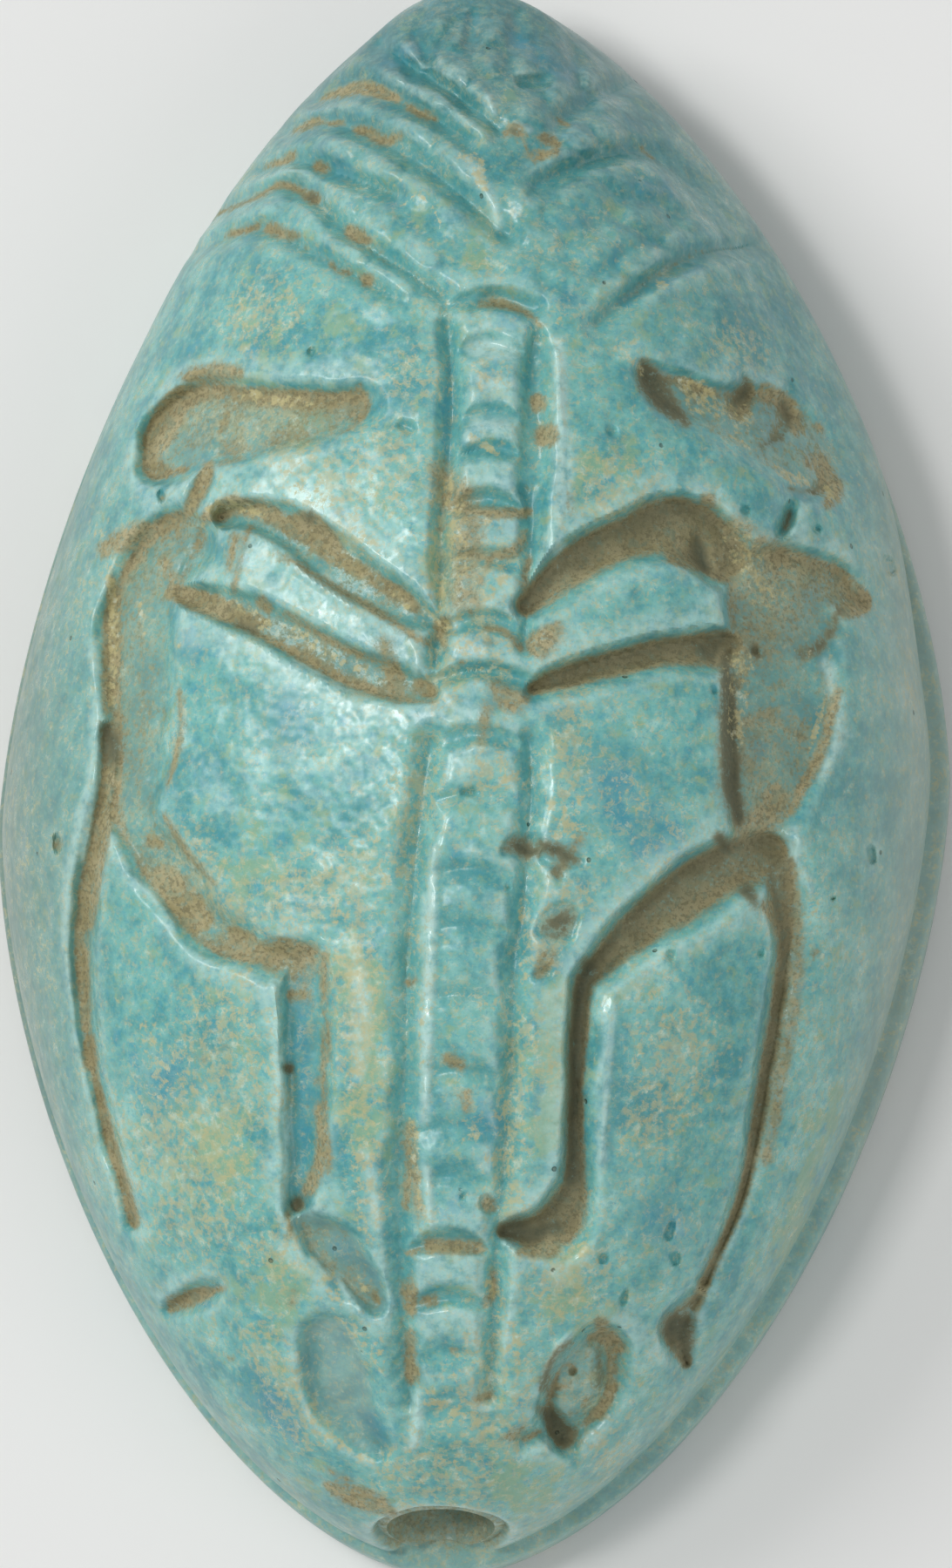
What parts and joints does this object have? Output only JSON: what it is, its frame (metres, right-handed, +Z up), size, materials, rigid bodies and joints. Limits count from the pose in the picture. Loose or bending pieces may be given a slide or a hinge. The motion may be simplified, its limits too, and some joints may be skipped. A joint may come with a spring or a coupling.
{
  "type": "amulet bead",
  "caption": "Pointed oval bead in turquoise glazed ware, flat below and domed above, with a sunk relief of a palm between climbing monkeys and a lengthwise string bore",
  "frame": {"origin": "centre of the flat underside", "axes": "+Z up out of the carved back, +Y along the bead from the foot of the palm to its crown, +X to the right as the back is looked down on with the crown at the top"},
  "size_m": [0.0228, 0.038, 0.012],
  "materials": {
    "turquoise_glaze": "aged glossy turquoise glaze with pooled blue, brown earth in the cuts and pale crust"
  },
  "bodies": {
    "root": {"bead": "turquoise_glaze"}
  },
  "joints": []
}
